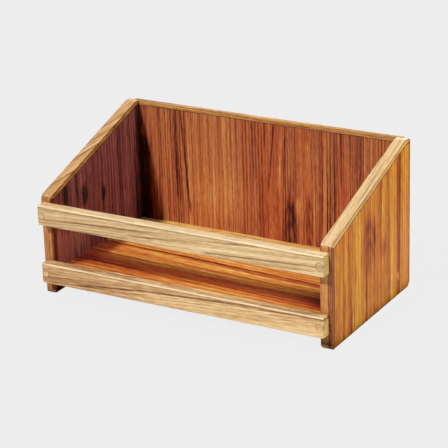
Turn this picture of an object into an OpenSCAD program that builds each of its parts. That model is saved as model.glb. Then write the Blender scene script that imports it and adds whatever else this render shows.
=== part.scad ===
// Open teak galley rack: two sloping side panels, a back panel, a bottom shelf and two front rails.
// Frame: +X to the right, +Y to the back, +Z up. The origin is under the middle of the rack, on the floor.

/* [Overall] */
// Width across the outer faces of the side panels
rack_w = 400; // [320:5:520]
// Depth of a side panel, front edge to rear edge
side_d = 215; // [160:5:280]
// Height at the back
rear_h = 194.5; // [170:0.5:240]
// Height at which the sloping edge would meet the front edge
front_h = 129.5; // [126:0.5:145]
// Length of the level edge at the back of each side panel's top
level_top = 14.5; // [10:0.5:30]

/* [Side panels] */
// Thickness of a side panel
side_t = 15; // [12:0.5:20]
// Thickness of the solid strip glued along the front and sloping edges
lipping_t = 6; // [4:0.5:7]
// Corner radius at the front foot
front_foot_r = 3; // [1:0.5:5]
// Corner radius at the rear foot
rear_foot_r = 8; // [2:0.5:12]
// Radius along the inner edge of each side panel's underside
foot_edge_r = 5; // [1:0.5:6]
// Corner radius between the front edge and the sloping edge
shoulder_r = 10; // [8:0.5:14]
// Corner radius between the sloping edge and the level top
crest_r = 15; // [5:0.5:25]
// Corner radius at the top of the rear edge
heel_r = 6; // [2:0.5:8]

/* [Shelf and back] */
// Height of the shelf's upper face
shelf_z = 31.5; // [30:0.5:40]
// Thickness of the shelf
shelf_t = 10; // [8:0.5:12]
// Thickness of the back panel
back_t = 6; // [5:0.5:9]
// Height of the solid strip on top of the back panel
back_lipping_h = 6; // [4:0.5:10]
// Depth of the rebate in each side panel that takes the back panel
rebate_x = 7.5; // [4:0.5:9]

/* [Front rails] */
// Height of a rail
rail_h = 26; // [20:0.5:30]
// Thickness of a rail
rail_t = 14; // [12:0.5:18]
// Height of the lower rail's underside
lower_rail_z = 19; // [15:0.5:19]
// Open height between the two rails
rail_gap = 50.5; // [30:0.5:50.5]
// How far the upper rail stops short of each side panel's outer face
upper_rail_inset = 3; // [1:0.5:6]
// How far the lower rail stops short of each side panel's outer face
lower_rail_inset = 4; // [1:0.5:6]
// Radius along the rail's front edges
rail_front_r = 1.5; // [1:0.5:5]
// Radius along the rail's rear edges
rail_rear_r = 1; // [0.5:0.5:3]

/* [Fastenings] */
// Diameter of the wood plugs over the rail screws
plug_d = 9.5; // [8:0.5:10]
// Distance from a rail's end to the middle of its plug
plug_setback = 5.5; // [5.5:0.5:8]
// Thickness of a wood plug
plug_t = 5; // [3:0.5:6]
// Shank diameter of the rail screws
screw_d = 4.2; // [3.5:0.1:5]
// Length of a rail screw under its head
screw_l = 32; // [20:1:50]
// Diameter of the shelf dowels
dowel_d = 6; // [4:0.5:7]
// Length of a shelf dowel
dowel_l = 30; // [20:1:40]
// Number of dowels at each end of the shelf
dowel_count = 3; // [2:1:5]
// Shank diameter of the back panel's pins
pin_d = 1.6; // [1.2:0.1:2]
// Length of a back panel pin under its head
pin_l = 20; // [12:1:25]
// Number of pins down each side of the back panel
side_pin_count = 3; // [2:1:5]
// Number of pins along the back panel into the shelf
shelf_pin_count = 4; // [2:1:8]

/* [Hidden] */
$fn = 48;

LEFT = -1;
RIGHT = 1;
// Overrun of every cutting shape past the face that it cuts
over = 1;

// Places across the rack
side_x = rack_w / 2;
inner_x = side_x - side_t;
back_x = inner_x + rebate_x;

// Places from front to back, with the rails' front faces and the rear edges equally far from the origin
rear_y = (side_d + rail_t) / 2;
front_y = rear_y - side_d;
rail_y = front_y - rail_t;
back_y = rear_y - back_t;

// Heights
shelf_bottom_z = shelf_z - shelf_t;
shelf_mid_z = shelf_z - shelf_t / 2;
back_seam_z = rear_h - back_lipping_h;
upper_rail_z = lower_rail_z + rail_h + rail_gap;

// Where the right-hand screw of each rail stands, in X and Z
rail_screw_at = [[side_x - lower_rail_inset - plug_setback, lower_rail_z + rail_h / 2],
                 [side_x - upper_rail_inset - plug_setback, upper_rail_z + rail_h / 2]];

// The side panel's outline in the Y-Z plane, with sharp corners, and the radius at each corner
crest_y = rear_y - level_top;
outline = [[front_y, 0], [rear_y, 0], [rear_y, rear_h], [crest_y, rear_h], [front_y, front_h]];
outline_r = [front_foot_r, rear_foot_r, heel_r, crest_r, shoulder_r];

// The core under the lipping: its front edge and its sloping edge lie lipping_t inside the outline
slope = (rear_h - front_h) / (crest_y - front_y);
lipping_drop = lipping_t * sqrt(1 + slope * slope);
core_y = front_y + lipping_t;
core_shoulder = [core_y, front_h + slope * lipping_t - lipping_drop];
core_rear_z = front_h + slope * side_d - lipping_drop;
core_zone = [[core_y, -over], [rear_y + over, -over], [rear_y + over, core_rear_z + slope * over],
             core_shoulder];
core_zone_r = [0, 0, 0, shoulder_r - lipping_t];

// Screw heads, pin heads and the holes that take them
screw_head_d = 8;
screw_head_t = 3;
screw_slot_w = 1;
screw_slot_t = 1.2;
counterbore = plug_t + screw_head_t;
pin_head_d = 2.6;
pin_head_t = 0.8;

// Dowels reach this far into a side panel
dowel_in_side = dowel_l / 3;
dowel_margin = 30;
dowel_pitch = (back_y - front_y - 2 * dowel_margin) / (dowel_count - 1);
dowel_ys = [for (i = [0 : dowel_count - 1]) front_y + dowel_margin + i * dowel_pitch];

// Pins down the sides of the back panel, and along its foot into the shelf
side_pin_x = inner_x + rebate_x / 2;
side_pin_low_z = shelf_z + 20;
side_pin_high_z = back_seam_z - 20;
side_pin_pitch = (side_pin_high_z - side_pin_low_z) / (side_pin_count - 1);
shelf_pin_margin = 45;
shelf_pin_pitch = 2 * (inner_x - shelf_pin_margin) / (shelf_pin_count - 1);
side_pins = [for (side = [LEFT, RIGHT], i = [0 : side_pin_count - 1])
             [side * side_pin_x, side_pin_low_z + i * side_pin_pitch]];
shelf_pins = [for (i = [0 : shelf_pin_count - 1])
              [-inner_x + shelf_pin_margin + i * shelf_pin_pitch, shelf_mid_z]];

// Unit vector from point a to point b
function toward(a, b) = (b - a) / norm(b - a);

// The sliver between the sharp corner at point i of a polygon and its rounding
module corner_sliver(points, i, r) {
    count = len(points);
    corner = points[i];
    u = toward(corner, points[(i + count - 1) % count]);
    v = toward(corner, points[(i + 1) % count]);
    half = acos(u * v) / 2;
    run = r / tan(half);
    centre = corner + toward([0, 0], u + v) * r / sin(half);
    difference() {
        polygon([corner - (u + v), corner + u * run, centre, corner + v * run]);
        translate(centre) circle(r);
    }
}

// A polygon with the given radius at each of its corners
module rounded_polygon(points, radii) {
    difference() {
        polygon(points);
        for (i = [0 : len(points) - 1])
            if (radii[i] > 0) corner_sliver(points, i, radii[i]);
    }
}

// A shape drawn in the Y-Z plane, standing from x0 to x1
module across(x0, x1) {
    translate([x0, 0, 0]) rotate([90, 0, 90]) linear_extrude(x1 - x0) children();
}

// A shape drawn in the X-Z plane, reaching from y0 back to y1
module deep(y0, y1) {
    translate([0, y1, 0]) rotate([90, 0, 0]) linear_extrude(y1 - y0) children();
}

// A cylinder whose axis runs from y0 back to y1
module rod_y(x, z, d, y0, y1) {
    translate([x, y0, z]) rotate([-90, 0, 0]) cylinder(d = d, h = y1 - y0);
}

// A cylinder whose axis runs across the rack from x0 to x1
module rod_x(y, z, d, x0, x1) {
    translate([x0, y, z]) rotate([0, 90, 0]) cylinder(d = d, h = x1 - x0);
}

// Parts made for the right-hand side, mirrored for the left
module on_side(side) {
    mirror([side == LEFT ? 1 : 0, 0, 0]) children();
}

module side_outline() {
    rounded_polygon(outline, outline_r);
}

// Everything behind the mitre between the front lipping and the slope lipping
module slope_zone() {
    shoulder = outline[4];
    mitre = core_shoulder - shoulder;
    outside = shoulder - 2 * mitre;
    inside = core_shoulder + mitre;
    polygon([outside, inside, [rear_y + over, inside[1]], [rear_y + over, rear_h + over],
             [outside[0], rear_h + over]]);
}

// What is left of a side after its underside has been rounded along the inner edge
module eased_underside() {
    intersection() {
        children();
        deep(front_y, rear_y) rounded_polygon(
            [[inner_x, 0], [side_x, 0], [side_x, rear_h], [inner_x, rear_h]], [foot_edge_r, 0, 0, 0]);
    }
}

// The rebate in the rear inner edge that takes the back panel and its lipping
module back_rebate() {
    translate([inner_x - over, back_y, shelf_bottom_z])
        cube([rebate_x + over, back_t + over, rear_h]);
}

// The holes that one side's rail screws bite in
module screw_holes() {
    for (at = rail_screw_at)
        rod_y(at[0], at[1], screw_d, rail_y, rail_y + counterbore + screw_l);
}

module side_core(side) {
    on_side(side) difference() {
        eased_underside() across(inner_x, side_x) intersection() {
            side_outline();
            rounded_polygon(core_zone, core_zone_r);
        }
        back_rebate();
        screw_holes();
        for (y = dowel_ys)
            rod_x(y, shelf_mid_z, dowel_d, inner_x - over, inner_x + dowel_in_side);
        for (pin = side_pins)
            if (pin[0] > 0) rod_y(pin[0], pin[1], pin_d, rear_y - pin_l, rear_y + over);
    }
}

module front_lipping(side) {
    on_side(side) difference() {
        eased_underside() across(inner_x, side_x) difference() {
            side_outline();
            rounded_polygon(core_zone, core_zone_r);
            slope_zone();
        }
        screw_holes();
    }
}

module slope_lipping(side) {
    on_side(side) difference() {
        across(inner_x, side_x) intersection() {
            difference() {
                side_outline();
                rounded_polygon(core_zone, core_zone_r);
            }
            slope_zone();
        }
        back_rebate();
    }
}

module left_side_panel() { color("sienna") side_core(LEFT); }
module right_side_panel() { color("peru") side_core(RIGHT); }
module left_front_lipping() { color("tan") front_lipping(LEFT); }
module right_front_lipping() { color("tan") front_lipping(RIGHT); }
module left_slope_lipping() { color("burlywood") slope_lipping(LEFT); }
module right_slope_lipping() { color("burlywood") slope_lipping(RIGHT); }

module bottom_shelf() {
    color("chocolate") difference() {
        translate([-inner_x, front_y, shelf_bottom_z])
            cube([2 * inner_x, back_y - front_y, shelf_t]);
        for (y = dowel_ys) {
            rod_x(y, shelf_mid_z, dowel_d, -inner_x - over, -inner_x + dowel_l - dowel_in_side);
            rod_x(y, shelf_mid_z, dowel_d, inner_x - dowel_l + dowel_in_side, inner_x + over);
        }
        for (pin = shelf_pins)
            rod_y(pin[0], pin[1], pin_d, rear_y - pin_l, back_y + over);
    }
}

// A pin's hole through the back panel, with the counterbore for its head
module pin_hole(pin) {
    rod_y(pin[0], pin[1], pin_d, back_y - over, rear_y + over);
    rod_y(pin[0], pin[1], pin_head_d, rear_y - pin_head_t, rear_y + over);
}

module back_panel() {
    color("firebrick") difference() {
        translate([-back_x, back_y, shelf_bottom_z])
            cube([2 * back_x, back_t, back_seam_z - shelf_bottom_z]);
        for (pin = concat(side_pins, shelf_pins)) pin_hole(pin);
    }
}

module back_top_lipping() {
    color("burlywood") translate([-back_x, back_y, back_seam_z])
        cube([2 * back_x, back_t, back_lipping_h]);
}

// A rail before it is drilled, with its underside at height z: three rounded sections meet at each corner
module rail_block(z, inset) {
    x = side_x - inset;
    front = rail_front_r;
    rear = rail_rear_r;
    intersection() {
        across(-x, x) rounded_polygon(
            [[rail_y, z], [front_y, z], [front_y, z + rail_h], [rail_y, z + rail_h]],
            [front, rear, rear, front]);
        translate([0, 0, z]) linear_extrude(rail_h) rounded_polygon(
            [[-x, rail_y], [x, rail_y], [x, front_y], [-x, front_y]],
            [front, front, rear, rear]);
        deep(rail_y, front_y) rounded_polygon(
            [[-x, z], [x, z], [x, z + rail_h], [-x, z + rail_h]],
            [front, front, front, front]);
    }
}

// The same rail drilled and counterbored for the screw at each of its ends
module rail(z, inset, screw_at) {
    difference() {
        rail_block(z, inset);
        for (side = [LEFT, RIGHT]) {
            rod_y(side * screw_at[0], screw_at[1], screw_d, rail_y - over, front_y + over);
            rod_y(side * screw_at[0], screw_at[1], plug_d, rail_y - over, rail_y + counterbore);
        }
    }
}

module lower_front_rail() { color("wheat") rail(lower_rail_z, lower_rail_inset, rail_screw_at[0]); }
module upper_front_rail() { color("wheat") rail(upper_rail_z, upper_rail_inset, rail_screw_at[1]); }

// A slotted screw lying along Y, its head towards the front
module rail_screw(x, z) {
    head_y = rail_y + plug_t;
    difference() {
        union() {
            rod_y(x, z, screw_head_d, head_y, head_y + screw_head_t);
            rod_y(x, z, screw_d, head_y, head_y + screw_head_t + screw_l);
        }
        translate([x - screw_slot_w / 2, head_y - over, z - screw_head_d])
            cube([screw_slot_w, screw_slot_t + over, 2 * screw_head_d]);
    }
}

module rail_screws() {
    color("goldenrod") for (side = [LEFT, RIGHT], at = rail_screw_at)
        rail_screw(side * at[0], at[1]);
}

// The two plugs of one rail, trimmed to the rail's own rounded face
module plug_pair(z, inset, screw_at) {
    intersection() {
        rail_block(z, inset);
        for (side = [LEFT, RIGHT])
            rod_y(side * screw_at[0], screw_at[1], plug_d, rail_y - over, rail_y + plug_t);
    }
}

module rail_plugs() {
    color("tan") {
        plug_pair(lower_rail_z, lower_rail_inset, rail_screw_at[0]);
        plug_pair(upper_rail_z, upper_rail_inset, rail_screw_at[1]);
    }
}

module shelf_dowels() {
    outer = inner_x + dowel_in_side;
    color("moccasin") for (y = dowel_ys) {
        rod_x(y, shelf_mid_z, dowel_d, outer - dowel_l, outer);
        rod_x(y, shelf_mid_z, dowel_d, -outer, dowel_l - outer);
    }
}

module back_panel_pins() {
    color("gold") for (pin = concat(side_pins, shelf_pins)) {
        rod_y(pin[0], pin[1], pin_d, rear_y - pin_l, rear_y - pin_head_t);
        rod_y(pin[0], pin[1], pin_head_d, rear_y - pin_head_t, rear_y);
    }
}

left_side_panel();
right_side_panel();
left_front_lipping();
right_front_lipping();
left_slope_lipping();
right_slope_lipping();
bottom_shelf();
back_panel();
back_top_lipping();
upper_front_rail();
lower_front_rail();
rail_screws();
rail_plugs();
shelf_dowels();
back_panel_pins();
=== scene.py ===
"""An open teak galley rack: two sloping sides, a back, a shelf and two front rails, in a pale studio."""
import math

import bmesh
import bpy
from mathutils import Matrix, Vector


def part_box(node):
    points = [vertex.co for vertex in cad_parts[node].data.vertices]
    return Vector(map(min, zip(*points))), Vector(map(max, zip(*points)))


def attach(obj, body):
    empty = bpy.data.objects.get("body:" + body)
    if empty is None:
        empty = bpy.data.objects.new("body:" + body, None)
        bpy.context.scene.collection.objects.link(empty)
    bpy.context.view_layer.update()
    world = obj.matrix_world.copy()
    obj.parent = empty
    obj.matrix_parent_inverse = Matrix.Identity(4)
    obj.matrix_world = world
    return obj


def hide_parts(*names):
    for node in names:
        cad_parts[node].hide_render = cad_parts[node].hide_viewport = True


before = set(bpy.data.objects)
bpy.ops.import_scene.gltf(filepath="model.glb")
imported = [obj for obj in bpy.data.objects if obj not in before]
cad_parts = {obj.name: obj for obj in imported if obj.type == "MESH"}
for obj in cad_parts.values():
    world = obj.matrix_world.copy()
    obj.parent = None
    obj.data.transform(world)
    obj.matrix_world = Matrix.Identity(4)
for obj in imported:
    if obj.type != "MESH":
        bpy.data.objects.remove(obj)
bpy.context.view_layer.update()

MM = 0.001

# Where the CAD model says the boards stand
CORE_LOW, CORE_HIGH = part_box("right_side_panel")
BACK_LOW, BACK_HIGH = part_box("back_panel")
CREST_LOW, CREST_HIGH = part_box("back_top_lipping")
UPPER_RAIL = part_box("upper_front_rail")
LOWER_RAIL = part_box("lower_front_rail")

INNER_X = CORE_LOW.x
SIDE_X = CORE_HIGH.x
FRONT_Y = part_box("right_front_lipping")[0].y
REAR_Y = CORE_HIGH.y
TOP_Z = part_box("right_slope_lipping")[1].z
CORE_Y = CORE_LOW.y
LIPPING = CORE_Y - FRONT_Y

# The side panel's outline: where its slope meets its front edge, its level top and its radii
SHOULDER_Z = 129.5 * MM
LEVEL_TOP = 14.5 * MM
FRONT_FOOT_R = 3 * MM
REAR_FOOT_R = 8 * MM
FOOT_EDGE_R = 5 * MM
SHOULDER_R = 10 * MM
CREST_R = 15 * MM
HEEL_R = 6 * MM
ARC_STEPS = 8
CREST_Y = REAR_Y - LEVEL_TOP
SLOPE = math.atan2(TOP_Z - SHOULDER_Z, CREST_Y - FRONT_Y)

# Rounding of a board's edges, and half the width of the fine groove along a glued seam
ARRIS = 1.0 * MM
SEAM = 0.22 * MM
FINE_ARRIS = 0.7 * MM

# How far a cutting shape reaches past what it cuts
SPARE = 5 * MM

# The rails' rounding and the wood plugs over their screws
RAIL_FRONT_R = 1.5 * MM
RAIL_REAR_R = 1 * MM
PLUG_D = 9.5 * MM
PLUG_T = 5 * MM
PLUG_SETBACK = 5.5 * MM
PLUG_GAP = 0.2 * MM

# Each side and the sign of its X
SIDES = {"left": -1, "right": 1}


# Shapes in the Y-Z plane ------------------------------------------------------------------------

def arc(corner, before, after, radius, steps):
    """The rounding of a corner between two straight lines, as points from one line to the other."""
    u = (before - corner).normalized()
    v = (after - corner).normalized()
    half = u.angle(v) / 2
    centre = corner + (u + v).normalized() * radius / math.sin(half)
    start = corner + u * radius / math.tan(half) - centre
    end = corner + v * radius / math.tan(half) - centre
    turn = start.angle_signed(end)
    points = []
    for i in range(steps + 1):
        spin = Matrix.Rotation(-turn * i / steps, 2)
        points.append(centre + spin @ start)
    return points


def rounded(corners):
    """A polygon from (point, radius) pairs, each corner rounded by its radius."""
    points = []
    for i, (corner, radius) in enumerate(corners):
        before = corners[i - 1][0]
        after = corners[(i + 1) % len(corners)][0]
        points += arc(corner, before, after, radius, ARC_STEPS)
    return points


def clip(points, origin, normal):
    """The part of a polygon behind the line through origin with that normal."""
    kept = []
    for a, b in zip(points, points[1:] + points[:1]):
        da = (a - origin).dot(normal)
        db = (b - origin).dot(normal)
        if da <= 0:
            kept.append(a)
        if da * db < 0:
            kept.append(a.lerp(b, da / (da - db)))
    return kept


def on_outline(point, gap=1e-6):
    """True if a point lies on the side panel's outline."""
    for a, b in zip(OUTLINE, OUTLINE[1:] + OUTLINE[:1]):
        along = b - a
        share = min(1, max(0, (point - a).dot(along) / along.length_squared))
        if (a + along * share - point).length < gap:
            return True
    return False


def swap_corner(points, corner, replacement):
    """The polygon with one corner replaced by a run of points."""
    i = min(range(len(points)), key=lambda k: (points[k] - corner).length)
    return points[:i] + replacement + points[i + 1:]


SHOULDER = Vector((FRONT_Y, SHOULDER_Z))
CREST = Vector((CREST_Y, TOP_Z))
ALONG_SLOPE = Vector((math.cos(SLOPE), math.sin(SLOPE)))
OFF_SLOPE = Vector((-math.sin(SLOPE), math.cos(SLOPE)))
CORE_SHOULDER = Vector((CORE_Y, SHOULDER_Z + LIPPING * math.tan(SLOPE) - LIPPING / math.cos(SLOPE)))
MITRE = (CORE_SHOULDER - SHOULDER).normalized()
ABOVE_MITRE = Vector((-MITRE.y, MITRE.x)) * (1 if MITRE.x * OFF_SLOPE.y > 0 else -1)

OUTLINE = rounded([
    (Vector((FRONT_Y, 0)), FRONT_FOOT_R),
    (Vector((REAR_Y, 0)), REAR_FOOT_R),
    (Vector((REAR_Y, TOP_Z)), HEEL_R),
    (CREST, CREST_R),
    (SHOULDER, SHOULDER_R),
])


def inner_round():
    """The rounded corner between the two lippings' inner faces, from the front face to the slope."""
    front = CORE_SHOULDER - Vector((0, 1))
    slope = CORE_SHOULDER + ALONG_SLOPE
    return arc(CORE_SHOULDER, front, slope, SHOULDER_R - LIPPING, ARC_STEPS)


def core_shape():
    """The veneered board inside the lippings."""
    behind = clip(OUTLINE, CORE_SHOULDER, Vector((-1, 0)))
    under = clip(behind, CORE_SHOULDER, OFF_SLOPE)
    return swap_corner(under, CORE_SHOULDER, inner_round()[::-1])


def front_lipping_shape():
    """The strip on the front edge, up to the mitre at the shoulder."""
    strip = clip(OUTLINE, CORE_SHOULDER, Vector((1, 0)))
    below = clip(strip, SHOULDER, ABOVE_MITRE)
    return swap_corner(below, CORE_SHOULDER, inner_round()[:ARC_STEPS // 2 + 1])


def slope_lipping_shape():
    """The strip on the slope and the level top, from the mitre back."""
    strip = clip(OUTLINE, CORE_SHOULDER, -OFF_SLOPE)
    above = clip(strip, SHOULDER, -ABOVE_MITRE)
    return swap_corner(above, CORE_SHOULDER, inner_round()[ARC_STEPS // 2:])


# Meshes -----------------------------------------------------------------------------------------

def new_object(name, mesh):
    piece = bpy.data.objects.new(name, mesh)
    bpy.context.scene.collection.objects.link(piece)
    return piece


def prism(name, outline, x0, x1):
    """A board with an outline in the Y-Z plane, standing from x0 to x1."""
    form = bmesh.new()
    rings = [[form.verts.new((x, p.x, p.y)) for p in outline] for x in (x0, x1)]
    join_rings(form, rings)
    return finished(name, form)


def join_rings(form, rings):
    """Closes two rings of vertices into a solid."""
    form.faces.new(rings[0])
    form.faces.new(rings[1][::-1])
    count = len(rings[0])
    for i in range(count):
        j = (i + 1) % count
        form.faces.new((rings[0][j], rings[0][i], rings[1][i], rings[1][j]))
    bmesh.ops.recalc_face_normals(form, faces=form.faces)


def block(name, low, high):
    """A plain box between two corners."""
    form = bmesh.new()
    bmesh.ops.create_cube(form, size=1)
    centre = (low + high) / 2
    size = high - low
    for vertex in form.verts:
        vertex.co = centre + Vector(c * s for c, s in zip(vertex.co, size))
    return finished(name, form)


def rod(name, x, z, diameter, y0, y1):
    """A cylinder whose axis runs from y0 back to y1."""
    form = bmesh.new()
    turn = Matrix.Rotation(math.pi / 2, 4, "X")
    where = Matrix.Translation((x, (y0 + y1) / 2, z)) @ turn
    bmesh.ops.create_cone(form, cap_ends=True, segments=72, radius1=diameter / 2,
                          radius2=diameter / 2, depth=y1 - y0, matrix=where)
    return finished(name, form)


def finished(name, form):
    """The object made from a form, which is then freed."""
    mesh = bpy.data.meshes.new(name)
    form.to_mesh(mesh)
    form.free()
    return new_object(name, mesh)


def apply_modifiers(piece):
    """Turns the piece's modifiers into its mesh."""
    seen = piece.evaluated_get(bpy.context.evaluated_depsgraph_get())
    mesh = bpy.data.meshes.new_from_object(seen)
    piece.modifiers.clear()
    old = piece.data
    piece.data = mesh
    bpy.data.meshes.remove(old)
    mesh.name = piece.name


def cut(piece, cutter, operation="DIFFERENCE"):
    """Cuts the piece with another, which then goes."""
    change = piece.modifiers.new("cut", "BOOLEAN")
    change.operation = operation
    change.solver = "EXACT"
    change.object = cutter
    apply_modifiers(piece)
    bpy.data.objects.remove(cutter)


def bevel(piece, width, weight_of, segments=4):
    """Rounds each edge by width times its weight, which weight_of works out from the edge's two ends."""
    mesh = piece.data
    layer = mesh.attributes.new("bevel_weight_edge", "FLOAT", "EDGE")
    for edge in mesh.edges:
        ends = [mesh.vertices[i].co for i in edge.vertices]
        layer.data[edge.index].value = weight_of(*ends)
    change = piece.modifiers.new("bevel", "BEVEL")
    change.limit_method = "WEIGHT"
    change.width = width
    change.segments = segments
    change.profile = 0.5
    change.miter_outer = "MITER_ARC"
    apply_modifiers(piece)


def smooth(piece):
    """Shades the piece smooth, with a crisp edge wherever two faces meet at more than 30 degrees."""
    mesh = piece.data
    weights = mesh.attributes.get("bevel_weight_edge")
    if weights:
        mesh.attributes.remove(weights)
    mesh.polygons.foreach_set("use_smooth", [True] * len(mesh.polygons))
    mesh.set_sharp_from_angle(angle=math.radians(30))


def place(piece, slot, materials, *nodes):
    """Gives the piece its finish and its place in the frame."""
    piece.data.materials.clear()
    for material in materials:
        piece.data.materials.append(material)
    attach(piece, "root")
    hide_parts(*nodes)


def same(a, b, gap=1e-5):
    """True if two places along an axis are the same."""
    return abs(a - b) < gap


# Colours and node shorthand ---------------------------------------------------------------------

def tint(red, green, blue):
    """A colour given as 0-255 display values, as the linear colour that a shader takes."""
    linear = []
    for value in (red, green, blue):
        share = value / 255
        linear.append(share / 12.92 if share <= 0.04045 else ((share + 0.055) / 1.055) ** 2.4)
    return (*linear, 1)


class Nodes:
    """Short names for the nodes of one material."""

    def __init__(self, name):
        self.material = bpy.data.materials.new(name)
        self.material.use_nodes = True
        self.tree = self.material.node_tree
        self.shader = self.tree.nodes["Principled BSDF"]

    def put(self, socket, value):
        """Feeds a socket from another one, or gives it a constant."""
        if isinstance(value, bpy.types.NodeSocket):
            self.tree.links.new(value, socket)
        else:
            socket.default_value = value

    def math(self, operation, *values):
        node = self.tree.nodes.new("ShaderNodeMath")
        node.operation = operation
        for socket, value in zip(node.inputs, values):
            self.put(socket, value)
        return node.outputs[0]

    def plus(self, first, *others):
        for other in others:
            first = self.math("ADD", first, other)
        return first

    def minus(self, a, b):
        return self.math("SUBTRACT", a, b)

    def times(self, first, *others):
        for other in others:
            first = self.math("MULTIPLY", first, other)
        return first

    def squared(self, value):
        return self.math("MULTIPLY", value, value)

    def step(self, value, start, end):
        """Rises smoothly from 0 to 1 as value goes from start to end."""
        node = self.tree.nodes.new("ShaderNodeMapRange")
        node.interpolation_type = "SMOOTHSTEP"
        self.put(node.inputs["Value"], value)
        node.inputs["From Min"].default_value = start
        node.inputs["From Max"].default_value = end
        return node.outputs["Result"]

    def point(self, x, y, z):
        node = self.tree.nodes.new("ShaderNodeCombineXYZ")
        for socket, value in zip(node.inputs, (x, y, z)):
            self.put(socket, value)
        return node.outputs[0]

    def noise(self, point, detail, roughness):
        node = self.tree.nodes.new("ShaderNodeTexNoise")
        self.put(node.inputs["Vector"], point)
        node.inputs["Scale"].default_value = 1
        node.inputs["Detail"].default_value = detail
        node.inputs["Roughness"].default_value = roughness
        return node.outputs[0]

    def ramp(self, value, stops):
        """A colour or grey ramp from (position, colour or level) stops, positions from 0 to 1."""
        node = self.tree.nodes.new("ShaderNodeValToRGB")
        self.put(node.inputs[0], value)
        elements = node.color_ramp.elements
        while len(elements) > 1:
            elements.remove(elements[-1])
        for i, (position, colour) in enumerate(stops):
            element = elements[0] if i == 0 else elements.new(position)
            element.position = position
            element.color = colour if hasattr(colour, "__len__") else (colour, colour, colour, 1)
        return node.outputs[0]

    def mix(self, share, a, b, blend="MIX"):
        """Colour a turned into b, or blended with it, by that share."""
        node = self.tree.nodes.new("ShaderNodeMix")
        node.data_type = "RGBA"
        node.blend_type = blend
        self.put(node.inputs[0], share)
        self.put(node.inputs[6], a)
        self.put(node.inputs[7], b)
        return node.outputs[2]

    def place(self):
        """X, Y and Z of the shaded point, in metres, in the CAD frame."""
        coordinates = self.tree.nodes.new("ShaderNodeTexCoord")
        split = self.tree.nodes.new("ShaderNodeSeparateXYZ")
        self.tree.links.new(coordinates.outputs["Object"], split.inputs[0])
        return list(split.outputs)


# Teak -------------------------------------------------------------------------------------------

class Grain:
    """Where the shaded point lies in its board: along the grain, across it, and into its depth."""

    def __init__(self, nodes, axes, seed):
        places = dict(zip("xyz", nodes.place()))
        y, z = places["y"], places["z"]
        places["s"] = nodes.plus(nodes.times(y, ALONG_SLOPE.x), nodes.times(z, ALONG_SLOPE.y))
        places["t"] = nodes.plus(nodes.times(y, OFF_SLOPE.x), nodes.times(z, OFF_SLOPE.y))
        self.nodes = nodes
        self.places = places
        self.along, self.across, self.depth = (places[a] for a in axes)
        self.seed = seed

    def stretched(self, length, width, layer, across=None, detail=2, roughness=0.5):
        """Noise in streaks of about that length along the grain and that width across it, in metres."""
        n = self.nodes
        across = self.across if across is None else across
        shift = self.seed * 3.17 + layer * 1.73
        point = n.point(n.plus(n.times(self.along, 1 / length), shift),
                        n.plus(n.times(across, 1 / width), shift * 2.3),
                        n.plus(n.times(self.depth, 1 / width), shift * 0.7))
        return n.noise(point, detail, roughness)


def signed(n, value, amount):
    """Noise about one half, turned into noise about zero of that strength."""
    return n.times(n.minus(value, 0.5), amount)


def bump(n, value, centre, width):
    """1 at centre, falling to 0 a couple of widths either side."""
    offset = n.times(n.minus(value, centre), 1 / width)
    return n.math("POWER", math.e, n.times(n.squared(offset), -1))


def across_bands(n, across, bands):
    """The board's own broad stripes, from (place across in mm, tone) pairs."""
    low = bands[0][0] * MM
    high = bands[-1][0] * MM
    share = n.times(n.minus(across, low), 1 / (high - low))
    stops = [((at * MM - low) / (high - low), tone) for at, tone in bands]
    return n.ramp(share, stops)


def add_streak(n, g, line, tone, streak):
    """A single line: place across and width in mm, change of tone, slope, and its two ends in mm."""
    at, width, depth, tilt, start, end = streak
    fade = 8
    shape = bump(n, n.minus(line, n.times(g.along, tilt)), at * MM, width * MM)
    span = n.times(n.step(g.along, (start - fade) * MM, (start + fade) * MM),
                   n.minus(1, n.step(g.along, (end - fade) * MM, (end + fade) * MM)))
    broken = n.plus(0.55, n.times(g.stretched(0.02, 0.01, 7 + at, detail=1), 0.9))
    return n.plus(tone, n.times(shape, span, broken, depth))


def add_flame(n, g, line, tone, flame):
    """A pointed figure: its tip across and along, half width and length in mm, change of tone, rings."""
    at, tip, half_width, length, depth, rings = flame
    wavy = n.plus(line, signed(n, g.stretched(0.045, 0.008, 9 + at, detail=3), 7 * MM))
    u = n.times(n.minus(wavy, at * MM), 1 / (half_width * MM))
    below = n.times(n.minus(tip * MM, g.along), 1 / (length * MM))
    inside = n.minus(below, n.squared(u))
    share = n.times(n.step(inside, 0.0, 0.10), n.minus(1, n.step(below, 0.8, 1.2)))
    ripple = n.math("SINE", n.times(inside, rings * math.tau))
    return n.plus(tone, n.times(share, n.plus(depth, n.times(ripple, 0.07))))


def add_patch(n, g, tone, patch):
    """A soft cloud: place across and along, half width and half length in mm, and change of tone."""
    at, height, half_width, half_length, depth = patch
    u = n.times(n.minus(g.across, at * MM), 1 / (half_width * MM))
    v = n.times(n.minus(g.along, height * MM), 1 / (half_length * MM))
    radius = n.math("SQRT", n.plus(n.squared(u), n.squared(v)))
    ragged = n.plus(radius, signed(n, g.stretched(0.030, 0.006, 15 + at, detail=3), 1.3))
    return n.plus(tone, n.times(n.minus(1, n.step(ragged, 0.4, 1.25)), depth))


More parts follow.
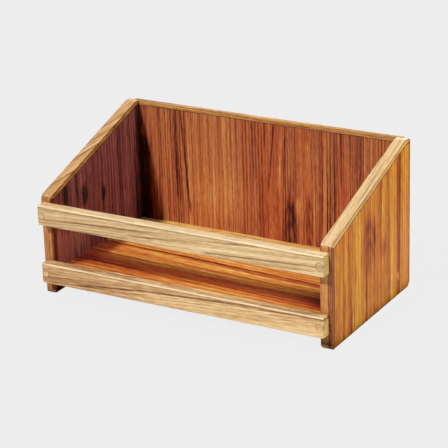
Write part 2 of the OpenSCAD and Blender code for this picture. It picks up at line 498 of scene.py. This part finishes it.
def add_figure(n, g, near, tone, contrast, fine, coarse):
    """The grain's own light and dark: broad and narrow streaks, then fine dark threads and light ones."""
    broad = g.stretched(0.50, 0.016, 3, near, detail=1)
    narrow = g.stretched(0.30, 0.0050, 4, near)
    lines = g.stretched(0.20, 0.0017 * coarse, 5, near, roughness=0.65)
    flecks = g.stretched(0.013, 0.0012 * coarse, 6, near)
    threads = n.step(g.stretched(0.45, 0.0024 * coarse, 14, near, roughness=0.6), 0.54, 0.64)
    glints = n.step(g.stretched(0.40, 0.0022 * coarse, 16, near, roughness=0.6), 0.56, 0.66)
    return n.plus(tone,
                  signed(n, broad, 0.50 * contrast),
                  signed(n, narrow, 0.70 * contrast),
                  signed(n, lines, 1.5 * fine),
                  signed(n, flecks, 0.9 * fine),
                  n.times(threads, -0.28 * fine),
                  n.times(glints, 0.18 * fine))


def add_stripe(n, g, line, colour, stripe):
    """A broad tinted stripe: place across and width in mm, slope, tint and strength."""
    at, width, tilt, stripe_colour, share = stripe
    shape = bump(n, n.minus(line, n.times(g.along, tilt)), at * MM, width * MM)
    return n.mix(n.times(shape, share), colour, stripe_colour, "MULTIPLY")


def oiled(n, g, pores):
    """The surface: a satin sheen that varies with the fibres, and shallow pores."""
    fibre = g.stretched(0.030, 0.0007, 13)
    n.put(n.shader.inputs["Roughness"], n.plus(0.42, signed(n, fibre, 0.16), n.times(pores, 0.2)))
    relief = n.tree.nodes.new("ShaderNodeBump")
    relief.inputs["Strength"].default_value = 0.5
    relief.inputs["Distance"].default_value = 0.12 * MM
    n.put(relief.inputs["Height"], n.minus(n.times(fibre, 0.6), pores))
    n.put(n.shader.inputs["Normal"], relief.outputs[0])
    n.shader.inputs["IOR"].default_value = 1.45
    n.shader.inputs["Specular IOR Level"].default_value = 0.22


def teak(name, axes, seed, tones, bands=None, streaks=(), flames=(), patches=(), stripes=(), contrast=1.0,
         fine=1.0, coarse=1.0, wander=2.5, lean=0.0, blush=0.0, seams=True, side_tone=None, extra=None):
    """Teak with its grain along the first of the three axes, across the second and into the third.

    tones: (level, colour) stops from dark to light
    bands: broad stripes across the board, as (place across in mm, tone) pairs
    streaks, flames, patches, stripes: single features, as the functions that add them take them
    contrast, fine: strength of the broad streaks and of the fine grain
    coarse: width of the fine grain
    wander, lean: how far the grain wanders in mm, and its slope along the board
    blush: strength of the ruddier streaks
    seams: a dark glue line, and painted shade along the outer edges of a side panel
    side_tone: painted shade, a tint that makes a strip's side faces darker than its top
    extra: a function that changes the colour
    """
    n = Nodes(name)
    g = Grain(n, axes, seed)
    drift = signed(n, g.stretched(0.11, 0.035, 1, detail=1), 2 * wander * MM)
    jitter = signed(n, g.stretched(0.020, 0.004, 2, detail=1), 1.1 * MM)
    line = n.plus(g.across, drift, jitter)
    near = n.minus(line, n.times(g.along, lean))

    tone = across_bands(n, near, bands) if bands else 0.5
    tone = add_figure(n, g, near, tone, contrast, fine, coarse)
    for streak in streaks:
        tone = add_streak(n, g, line, tone, streak)
    for flame in flames:
        tone = add_flame(n, g, line, tone, flame)
    for patch in patches:
        tone = add_patch(n, g, tone, patch)

    colour = n.ramp(tone, tones)
    ruddy = n.step(g.stretched(0.30, 0.020, 11, near, detail=1), 0.42, 0.66)
    colour = n.mix(n.times(ruddy, blush), colour, tint(250, 216, 208), "MULTIPLY")
    for stripe in stripes:
        colour = add_stripe(n, g, line, colour, stripe)
    pores = n.step(g.stretched(0.0055, 0.00042, 12, detail=1), 0.60, 0.72)
    colour = n.mix(n.times(pores, 0.34), colour, tint(70, 34, 20))
    if extra:
        colour = extra(n, g, colour)
    # Painted shade on a strip's side faces
    if side_tone:
        colour = n.mix(on_side_face(n, g), colour, side_tone, "MULTIPLY")
    # The dark glue line, and painted shade along the side's outer edges
    if seams:
        colour = n.mix(seam_shade(n, g), colour, tint(52, 20, 14))
    n.put(n.shader.inputs["Base Color"], colour)
    oiled(n, g, pores)
    return n.material


def on_side_face(n, g):
    """1 on a side panel's inner and outer faces, 0 between them."""
    from_middle = n.math("ABSOLUTE", n.minus(n.math("ABSOLUTE", g.places["x"]), (INNER_X + SIDE_X) / 2))
    half = (SIDE_X - INNER_X) / 2
    return n.step(from_middle, half - 0.9 * MM, half - 0.3 * MM)


def seam_shade(n, g):
    """On a side's two faces, dark along the glue line under the lipping, and painted shade along the outer
    edges.
    """
    y, z, t = (g.places[a] for a in "yzt")
    outer = SHOULDER.dot(OFF_SLOPE)
    depth_front = n.minus(y, FRONT_Y)
    depth_slope = n.minus(outer, t)
    depth_top = n.minus(TOP_Z, z)
    front_or_slope = n.math("SMOOTH_MIN", depth_front, depth_slope, 2 * MM)
    inside = n.math("SMOOTH_MIN", front_or_slope, depth_top, 1 * MM)
    glue = bump(n, inside, LIPPING, 0.75 * MM)
    # Painted shade along the outer arris
    painted_arris = bump(n, inside, 0.9 * MM, 0.75 * MM)
    # Painted shade along the bottom and rear edges
    border = n.math("MINIMUM", z, n.minus(REAR_Y, y))
    edge = bump(n, border, 0.5 * MM, 0.9 * MM)
    shade = n.plus(n.times(glue, 0.85), n.times(painted_arris, 0.75), n.times(edge, 0.7))
    return n.times(on_side_face(n, g), shade)


# Teak's tones from dark to light, board by board
PALE = [(0.0, tint(112, 82, 54)), (0.35, tint(178, 146, 104)), (0.6, tint(204, 177, 134)),
        (1.0, tint(228, 206, 166))]
BROWN = [(0.0, tint(100, 66, 42)), (0.35, tint(170, 130, 88)), (0.6, tint(204, 172, 124)),
         (1.0, tint(230, 206, 162))]
HONEY = [(0.0, tint(92, 54, 30)), (0.35, tint(156, 112, 70)), (0.6, tint(186, 148, 102)),
         (1.0, tint(218, 190, 146))]
TAN = [(0.0, tint(98, 54, 27)), (0.35, tint(168, 112, 60)), (0.6, tint(198, 146, 86)),
       (1.0, tint(226, 188, 126))]
ORANGE = [(0.0, tint(79, 32, 18)), (0.3, tint(134, 74, 38)), (0.55, tint(170, 111, 60)),
          (0.8, tint(190, 140, 84)), (1.0, tint(204, 164, 112))]
FLAME = [(0.0, tint(58, 22, 18)), (0.3, tint(140, 67, 45)), (0.55, tint(176, 103, 62)),
         (0.8, tint(196, 135, 77)), (1.0, tint(214, 164, 98))]
GOLD = [(0.0, tint(84, 23, 12)), (0.25, tint(138, 61, 20)), (0.5, tint(173, 105, 29)),
        (0.75, tint(196, 145, 44)), (1.0, tint(222, 180, 76))]
EMBER = [(0.0, tint(80, 26, 22)), (0.3, tint(144, 61, 34)), (0.55, tint(176, 104, 45)),
         (0.8, tint(198, 152, 70)), (1.0, tint(226, 196, 120))]
# The inner faces' tones: partly the veneer's own, partly painted shade, darker and redder than the outer
# faces' GOLD
WINE = [(0.0, tint(24, 12, 12)), (0.35, tint(106, 53, 50)), (0.65, tint(136, 74, 67)),
        (1.0, tint(168, 104, 90))]

# Painted shade: the lippings' side faces are tinted darker and more golden than their tops, which face the
# light
LIPPING_SIDE_SHADE = tint(250, 228, 178)


def side_outer(side):
    return teak(
        f"teak_{side}_outer", "zyx", 1 if side == "right" else 5, GOLD,
        bands=[(-115, 0.5), (-96, 0.42), (-90, 0.54), (-86, 0.60), (-81, 0.46), (-76, 0.60), (-71, 0.44),
               (-64, 0.62), (-58, 0.52), (-51, 0.40), (-44, 0.54), (-28, 0.64), (-18, 0.52), (0, 0.50),
               (18, 0.52), (40, 0.50), (53, 0.36), (60, 0.58), (66, 0.66), (73, 0.64), (79, 0.36),
               (84, 0.28), (88, 0.52), (100, 0.56), (115, 0.48)],
        streaks=[(-51, 1.2, -0.30, 0, 0, 58), (-66, 1.8, -0.25, 0, 25, 70), (82, 2.2, -0.22, 0, 35, 170),
                 (-37, 1.5, -0.28, 0, 58, 82), (-8, 3.0, -0.26, 0, -10, 72), (35, 1.5, -0.22, 0, 150, 172),
                 (14, 1.8, -0.34, 0, 92, 122)],
        flames=[(-2, 140, 24, 62, -0.10, 2.5)],
        patches=[(-2, 98, 18, 42, -0.15), (40, 76, 9, 15, -0.18), (80, 25, 4, 6, 0.3)],
        contrast=0.4, fine=0.62, coarse=1.6, wander=0.8, blush=0.6)


def side_inner(side):
    return teak(
        f"teak_{side}_inner", "zyx", 2 if side == "left" else 6, WINE,
        # Painted shade: on both sides' inner faces the tones fall to near black over the last 20 mm before
        # the rear edge
        bands=[(-115, 0.5), (66, 0.56), (85, 0.56), (93, 0.36), (99, 0.08), (105, 0.0), (115, 0.0)],
        streaks=[(-70, 5, -0.25, 0, 105, 138), (-28, 6, -0.25, 0, 92, 122), (15, 4, -0.25, 0, 88, 104)],
        # Painted light: the first patch lightens the low front of the inner face; the others are the
        # wood's own dark blotches
        patches=[(-68, 55, 44, 26, 0.45), (-28, 106, 8, 15, -0.32), (-70, 122, 7, 14, -0.30),
                 (15, 96, 5, 9, -0.36), (-88, 122, 9, 20, -0.20)],
        contrast=0.7, fine=1.0, coarse=1.6, blush=0.6)


def back_teak():
    return teak(
        "teak_back", "zxy", 3, FLAME,
        # Painted shade: the tones darken towards the left edge
        bands=[(-193, 0.30), (-180, 0.40), (-165, 0.46), (-130, 0.46), (-110, 0.54), (-95, 0.56),
               (-60, 0.58), (-40, 0.54), (-20, 0.46), (0, 0.48), (10, 0.56), (20, 0.44), (35, 0.47),
               (60, 0.54), (78, 0.48), (95, 0.46), (115, 0.48), (150, 0.50), (193, 0.50)],
        streaks=[(-108, 1.5, -0.5, -0.075, 50, 192), (-13, 1.2, -0.3, -0.02, 115, 190),
                 (82, 0.9, -0.35, 0, 50, 192), (89, 0.9, -0.4, 0, 50, 192), (94, 0.8, -0.3, 0, 50, 192),
                 (100, 0.9, -0.4, 0, 60, 192), (109, 0.9, -0.4, 0, 120, 192),
                 (122, 0.9, -0.35, 0, 60, 192), (137, 1.0, -0.35, 0, 60, 192), (1, 1.0, -0.4, 0, 155, 190),
                 (-4, 1.2, -0.4, 0.1, 100, 190), (22, 1.0, -0.3, 0.05, 130, 190),
                 (63, 4.0, 0.18, 0, 100, 170), (9, 2.4, 0.24, 0.1, 100, 190),
                 (29, 1.6, 0.2, 0.05, 120, 190), (-130, 2.2, -0.25, 0, 70, 190),
                 (40, 1.8, -0.5, 0, 56, 82)],
        flames=[(63, 106, 12, 85, -0.15, 3.5), (36, 98, 15, 85, -0.19, 3.5)],
        # Painted shadow: the last patch is the near-black shade in the lower left corner, beside the left
        # side
        patches=[(48, 84, 5, 12, 0.25), (-60, 78, 50, 34, 0.12), (-188, 78, 20, 84, -0.75)],
        contrast=0.38, fine=0.78, coarse=1.1, wander=1.2, blush=0.8)


def shelf_teak():
    return teak(
        "teak_shelf", "xyz", 4, EMBER,
        bands=[(-105, 0.5), (-80, 0.64), (-68, 0.70), (-60, 0.56), (-50, 0.56), (-42, 0.52), (-34, 0.54),
               (-26, 0.60), (-18, 0.74), (-8, 0.72), (0, 0.58), (4, 0.36), (8, 0.60), (15, 0.76),
               (22, 0.72), (60, 0.70), (85, 0.80), (100, 1.0), (110, 1.0)],
        streaks=[(6, 1.4, -0.4, -0.045, -180, 130), (-38, 5.0, -0.15, -0.03, -180, 150)],
        # Painted shade: the first patch darkens the shelf's left end and the last one its right end
        patches=[(-10, -182, 90, 26, -0.30), (-62, -120, 16, 60, -0.12), (-45, 176, 22, 40, -0.4)],
        # Partly the wood's own dark band and partly painted shade: a crimson tint where the upper rail's
        # shadow falls
        stripes=[(-45, 14, -0.045, tint(248, 178, 206), 0.6)],
        contrast=0.5, fine=0.75, coarse=2.0, wander=1.2, lean=-0.045, seams=False, blush=0.8)


def rail_edges(box):
    """A rail's painted highlight on its top arris, the painted shadow line under it, its plugs' rims and
    its darker ends.
    """
    low, high = box
    middle_z = (low.z + high.z) / 2
    brown = tint(96, 62, 36)

    def shade(n, g, colour):
        x, y, z = (g.places[a] for a in "xyz")
        front = n.minus(1, n.step(y, low.y + 0.6 * MM, low.y + 1.8 * MM))
        # Painted highlight along the front top arris, and a painted shadow line just below it
        painted_arris = n.times(front, n.step(z, high.z - 1.9 * MM, high.z - 1.1 * MM))
        under = n.times(front, bump(n, z, high.z - 2.8 * MM, 0.6 * MM))
        end = n.step(n.math("ABSOLUTE", x), high.x - 0.9 * MM, high.x - 0.3 * MM)
        across = n.minus(n.math("ABSOLUTE", x), high.x - PLUG_SETBACK)
        off_plug = n.math("SQRT", n.plus(n.squared(across), n.squared(n.minus(z, middle_z))))
        ring = bump(n, off_plug, PLUG_D / 2, 0.6 * MM)
        # Painted highlight on the arris, then the painted shadow line
        colour = n.mix(n.times(painted_arris, 0.42), colour, tint(250, 238, 212))
        colour = n.mix(n.times(under, 0.45), colour, brown)
        colour = n.mix(n.times(front, ring, 0.45), colour, brown)
        return n.mix(end, colour, tint(222, 214, 178), "MULTIPLY")

    return shade


def rail_teak(name, seed, tones, box, streaks=(), patches=(), contrast=1.0):
    return teak(name, "xzy", seed, tones, streaks=streaks, patches=patches, contrast=0.5 * contrast,
                fine=0.6 * contrast, coarse=1.2, lean=0.06, wander=1.5, seams=False,
                extra=rail_edges(box))


def upper_rail_teak():
    return rail_teak("teak_upper_rail", 11, PALE, UPPER_RAIL,
                     streaks=[(96.8, 1.1, -0.45, 0.054, 40, 190), (109.3, 1.3, -0.3, 0.088, -60, 110),
                              (113.5, 1.0, -0.25, 0.05, -190, -40), (100.5, 1.2, -0.25, 0.03, -150, 20)])


def lower_rail_teak():
    return rail_teak("teak_lower_rail", 12, BROWN, LOWER_RAIL,
                     streaks=[(39, 1.2, -0.4, 0.10, -140, -60), (37, 1.2, -0.4, 0.045, -60, 60),
                              (39, 1.2, -0.4, 0.02, 60, 200), (31, 1.3, -0.25, 0.05, -190, -50)],
                     patches=[(32, -150, 34, 120, -0.16), (24, 110, 16, 150, 0.16)], contrast=1.1)


def front_lipping_teak(side):
    if side == "right":
        seed = 7
        bands = [(185, 0.62), (195.2, 0.60), (195.8, 0.10), (196.5, 0.36), (200, 0.34)]
    else:
        seed = 14
        # Painted shade: the left strip darkens towards its inner face and is dark on it
        bands = [(-200, 0.50), (-189, 0.48), (-187.4, 0.16), (-185, 0.10)]
    return teak(f"teak_{side}_front", "zxy", seed, ORANGE, bands=bands, contrast=0.4, fine=0.6,
                coarse=1.2, wander=0.15, side_tone=LIPPING_SIDE_SHADE)


def slope_lipping_teak(side):
    if side == "right":
        return teak("teak_right_slope", "sxt", 8, PALE,
                    streaks=[(197, 1.4, -0.25, -0.04, 40, 110)],
                    contrast=0.35, fine=0.6, coarse=1.2, lean=-0.05, side_tone=LIPPING_SIDE_SHADE)
    return teak("teak_left_slope", "sxt", 9, HONEY, contrast=0.8, fine=0.75, coarse=1.3, lean=0.4,
                side_tone=LIPPING_SIDE_SHADE)


def beech():
    n = Nodes("beech")
    g = Grain(n, "xyz", 20)
    fleck = g.stretched(0.012, 0.0009, 1)
    tones = [(0.3, tint(190, 150, 110)), (0.7, tint(222, 188, 148))]
    n.put(n.shader.inputs["Base Color"], n.ramp(fleck, tones))
    n.put(n.shader.inputs["Roughness"], n.plus(0.55, signed(n, fleck, 0.2)))
    return n.material


def brass():
    n = Nodes("brass")
    g = Grain(n, "yxz", 21)
    scuff = g.stretched(0.004, 0.0006, 1, detail=3)
    tones = [(0.2, tint(168, 128, 62)), (0.8, tint(214, 178, 104))]
    n.put(n.shader.inputs["Base Color"], n.ramp(scuff, tones))
    n.put(n.shader.inputs["Roughness"], n.plus(0.3, signed(n, scuff, 0.3)))
    n.shader.inputs["Metallic"].default_value = 1
    return n.material


# Sides ------------------------------------------------------------------------------------------

def side_weight(x0, x1):
    """The rounding of each edge of a side's board: full on the outline, fine along a glued seam."""

    def weight(a, b):
        if not same(a.x, b.x) or not (same(a.x, x0) or same(a.x, x1)):
            return 0
        if same(a.z, FOOT_EDGE_R) and same(b.z, FOOT_EDGE_R):
            return 0
        middle = (a + b) / 2
        if on_outline(Vector((middle.y, middle.z))):
            return 1
        return SEAM / ARRIS

    return weight


def back_rebate(side):
    """What the back panel's rebate takes away from a side, with some to spare."""
    sign = SIDES[side]
    x0, x1 = sorted((sign * (INNER_X - SPARE), sign * BACK_HIGH.x))
    low = Vector((x0, BACK_LOW.y, BACK_LOW.z))
    high = Vector((x1, REAR_Y + SPARE, TOP_Z + SPARE))
    return block("rebate", low, high)


def underside_sliver(side):
    """What the rounding along the inner edge of a side's underside takes away, with some to spare."""
    sign = SIDES[side]
    corner = Vector((sign * INNER_X, 0))
    rounding = arc(corner, corner + Vector((0, 1)), corner + Vector((sign, 0)), FOOT_EDGE_R, 12)
    outside = [Vector((sign * (INNER_X + FOOT_EDGE_R), -SPARE)),
               Vector((sign * (INNER_X - SPARE), -SPARE)),
               Vector((sign * (INNER_X - SPARE), FOOT_EDGE_R))]
    form = bmesh.new()
    rings = [[form.verts.new((p.x, y, p.y)) for p in rounding + outside]
             for y in (FRONT_Y - SPARE, REAR_Y + SPARE)]
    join_rings(form, rings)
    return finished("sliver", form)


def side_board(name, side, shape):
    """One board of a side panel, from its shape in the Y-Z plane."""
    sign = SIDES[side]
    x0, x1 = sorted((sign * INNER_X, sign * SIDE_X))
    piece = prism(name, shape, x0, x1)
    if max(p.x for p in shape) > BACK_LOW.y:
        cut(piece, back_rebate(side))
    if min(p.y for p in shape) < FOOT_EDGE_R:
        cut(piece, underside_sliver(side))
    bevel(piece, ARRIS, side_weight(x0, x1))
    smooth(piece)
    return piece


def veneer_faces(piece, side):
    """The inner face takes the second material, whose darker tones are partly painted shade."""
    for polygon in piece.data.polygons:
        if polygon.normal.x * SIDES[side] < -0.5:
            polygon.material_index = 1


def make_sides():
    for side in SIDES:
        core = side_board(f"{side}_side", side, core_shape())
        place(core, "veneer_sides", [side_outer(side), side_inner(side)], f"{side}_side_panel")
        veneer_faces(core, side)
        lipping = side_board(f"{side}_front_strip", side, front_lipping_shape())
        place(lipping, "lipping_teak", [front_lipping_teak(side)], f"{side}_front_lipping")
        slope = side_board(f"{side}_slope_strip", side, slope_lipping_shape())
        place(slope, "lipping_teak", [slope_lipping_teak(side)], f"{side}_slope_lipping")


# Back and shelf ---------------------------------------------------------------------------------

def painted_top_shade(n, g, colour):
    """Painted shade: the strip's top face is a little darker than its front."""
    top = n.step(g.places["z"], TOP_Z - 0.6 * MM, TOP_Z - 0.1 * MM)
    return n.mix(top, colour, tint(210, 211, 194), "MULTIPLY")


def crest_weight(a, b):
    """The rounding of each edge of the strip: full on top, fine along the seam below, none upright."""
    if not same(a.z, b.z):
        return 0
    if same(a.z, CREST_HIGH.z):
        return 1
    return SEAM / FINE_ARRIS


def dress(node, material):
    """Gives a CAD node that keeps its own shape its material."""
    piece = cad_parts[node]
    piece.data.materials.clear()
    piece.data.materials.append(material)


def make_back():
    crest = block("back_top_strip", CREST_LOW, CREST_HIGH)
    bevel(crest, FINE_ARRIS, crest_weight)
    smooth(crest)
    # The strip's top face carries painted shade
    top = teak("teak_back_top", "xzy", 10, TAN, contrast=0.6, seams=False, extra=painted_top_shade)
    place(crest, "lipping_teak", [top], "back_top_lipping")
    dress("back_panel", back_teak())


def make_shelf():
    dress("bottom_shelf", shelf_teak())


# Rails ------------------------------------------------------------------------------------------

def rail_weight(rear_y):
    """Full rounding round the front face and the four corners behind it, fine round the rear face."""

    def weight(a, b):
        if same(a.y, rear_y) and same(b.y, rear_y):
            return RAIL_REAR_R / RAIL_FRONT_R
        return 1

    return weight


def make_rail(name, node, box, material, plug_material):
    """A rail and the two plugs in it, each plug cut from the rail's own shape."""
    low, high = box
    rail = block(name, low, high)
    bevel(rail, RAIL_FRONT_R, rail_weight(high.y), segments=7)
    middle_z = (low.z + high.z) / 2
    for side, sign in SIDES.items():
        x = sign * (high.x - PLUG_SETBACK)
        plug = new_object(f"{name}_{side}_plug", rail.data.copy())
        hole = rod("hole", x, middle_z, PLUG_D, low.y - SPARE, low.y + PLUG_T)
        core = rod("core", x, middle_z, PLUG_D - 2 * PLUG_GAP, low.y - SPARE, low.y + PLUG_T)
        cut(rail, hole)
        cut(plug, core, "INTERSECT")
        smooth(plug)
        place(plug, "plug_teak", [plug_material], "rail_plugs")
    smooth(rail)
    place(rail, "rail_teak", [material], node)


def make_rails():
    upper_plug = rail_teak("teak_upper_plug", 13, PALE, UPPER_RAIL)
    lower_plug = rail_teak("teak_lower_plug", 15, BROWN, LOWER_RAIL)
    make_rail("upper_rail", "upper_front_rail", UPPER_RAIL, upper_rail_teak(), upper_plug)
    make_rail("lower_rail", "lower_front_rail", LOWER_RAIL, lower_rail_teak(), lower_plug)


def make_fastenings():
    dress("rail_screws", brass())
    dress("back_panel_pins", brass())
    dress("shelf_dowels", beech())


# Studio -----------------------------------------------------------------------------------------

def sweep_profile():
    """Half the sweep's section, as (radius, height) pairs in metres: floor, curve, wall and ceiling."""
    floor_r = 6
    curve_r = 3
    wall_top = 14
    steps = 12
    profile = [(0, 0), (1, 0), (floor_r, 0)]
    for i in range(1, steps + 1):
        turn = math.pi / 2 * i / steps
        profile.append((floor_r + curve_r * math.sin(turn), curve_r * (1 - math.cos(turn))))
    profile.append((floor_r + curve_r, wall_top))
    profile.append((0, wall_top + 2))
    return profile


def turned(name, profile, around):
    """A closed form turned about the Z axis from (radius, height) pairs that start and end on the axis."""
    form = bmesh.new()
    rings = []
    for radius, height in profile:
        if radius == 0:
            rings.append([form.verts.new((0, 0, height))] * around)
            continue
        ring = []
        for i in range(around):
            turn = math.tau * i / around
            ring.append(form.verts.new((radius * math.cos(turn), radius * math.sin(turn), height)))
        rings.append(ring)
    for lower, upper in zip(rings, rings[1:]):
        for i in range(around):
            j = (i + 1) % around
            corners = list(dict.fromkeys((lower[i], lower[j], upper[j], upper[i])))
            form.faces.new(corners)
    return finished(name, form)


def make_sweep():
    """A pale floor that rises into walls all round, so that every view has the same plain background."""
    sweep = turned("studio_sweep", sweep_profile(), 48)
    sweep.data.polygons.foreach_set("use_smooth", [True] * len(sweep.data.polygons))
    n = Nodes("studio_white")
    n.shader.inputs["Base Color"].default_value = (0.015, 0.015, 0.015, 1)
    n.shader.inputs["Roughness"].default_value = 1
    n.shader.inputs["Specular IOR Level"].default_value = 0
    n.shader.inputs["Emission Color"].default_value = (1, 1, 1, 1)
    n.shader.inputs["Emission Strength"].default_value = 0.825
    sweep.data.materials.append(n.material)
    sweep.visible_diffuse = False
    sweep.visible_glossy = False
    sweep.visible_shadow = False
    sweep.visible_transmission = False


def aim(thing, location, target):
    """Puts a lamp in its place, shining at the target."""
    thing.location = location
    thing.rotation_mode = "QUATERNION"
    thing.rotation_quaternion = (target - location).to_track_quat("-Z", "Y")


def add_sun(name, toward_light, strength, spread, colour):
    lamp = bpy.data.lights.new(name, "SUN")
    lamp.energy = strength
    lamp.angle = math.radians(spread)
    lamp.color = colour
    holder = new_object(name, lamp)
    aim(holder, toward_light, Vector((0, 0, 0)))


def add_panel(name, location, target, size, power, colour):
    lamp = bpy.data.lights.new(name, "AREA")
    lamp.shape = "RECTANGLE"
    lamp.size, lamp.size_y = size
    lamp.energy = power
    lamp.color = colour
    holder = new_object(name, lamp)
    holder.visible_camera = False
    aim(holder, location, target)


def make_lamps():
    """The key light, the fills, and two panels on the floor that stand for the light it throws back."""
    warm = (1.0, 0.97, 0.92)
    cool = (0.96, 0.97, 1.0)
    middle = Vector((0, 0, 0.10))
    add_sun("key", Vector((-0.29, -1.0, 1.10)), 3.45, 5.0, warm)
    add_panel("right_fill", Vector((2.3, 0.75, 0.35)), middle, (1.0, 0.6), 38, warm)
    add_panel("high_right", Vector((0.9, 0.36, 1.9)), middle, (0.4, 1.4), 31, cool)
    add_panel("rear_fill", Vector((-0.8, 2.6, 0.7)), middle, (1.6, 1.2), 30, warm)
    add_panel("left_fill", Vector((-2.4, 0.3, 0.6)), middle, (1.6, 1.1), 14, warm)
    above = Vector((0, 0, 1))
    front_floor = Vector((0, -0.515, 0.003))
    right_floor = Vector((0.705, 0, 0.003))
    add_panel("front_bounce", front_floor, front_floor + above, (1.4, 0.80), 4.2, warm)
    add_panel("right_bounce", right_floor, right_floor + above, (1.0, 1.0), 2.0, warm)


def make_air():
    """A faint even light from all round, and colours shown as they are."""
    world = bpy.data.worlds.new("studio_air")
    world.use_nodes = True
    air = world.node_tree.nodes["Background"]
    air.inputs["Color"].default_value = (0.95, 1.0, 0.98, 1)
    air.inputs["Strength"].default_value = 0.03
    bpy.context.scene.world = world
    bpy.context.scene.view_settings.view_transform = "Standard"
    bpy.context.scene.view_settings.look = "None"


def add_camera():
    """The camera stands to the right of the front, above the rack, tipped a little to one side."""
    azimuth = math.radians(30.293)
    elevation = math.radians(21.053)
    roll = math.radians(-1.879)
    distance = 2.3105
    focal = 149.86
    toward_camera = Vector((math.sin(azimuth) * math.cos(elevation),
                            -math.cos(azimuth) * math.cos(elevation),
                            math.sin(elevation)))
    right = Vector((math.cos(azimuth), math.sin(azimuth), 0))
    up = toward_camera.cross(right)
    target = Vector((0, 0.007, 0.080)) - right * 0.00227 + up * 0.00617
    tipped_right = right * math.cos(roll) + up * math.sin(roll)
    tipped_up = up * math.cos(roll) - right * math.sin(roll)
    lens = bpy.data.cameras.new("camera")
    lens.lens = focal
    lens.sensor_width = 36
    lens.clip_start = 0.1
    lens.clip_end = 60
    camera = new_object("camera", lens)
    axes = Matrix((tipped_right, tipped_up, toward_camera)).transposed()
    camera.matrix_world = Matrix.LocRotScale(target + toward_camera * distance, axes, None)
    bpy.context.scene.camera = camera


add_camera()
make_lamps()
make_air()
make_sweep()
make_sides()
make_back()
make_shelf()
make_rails()
make_fastenings()
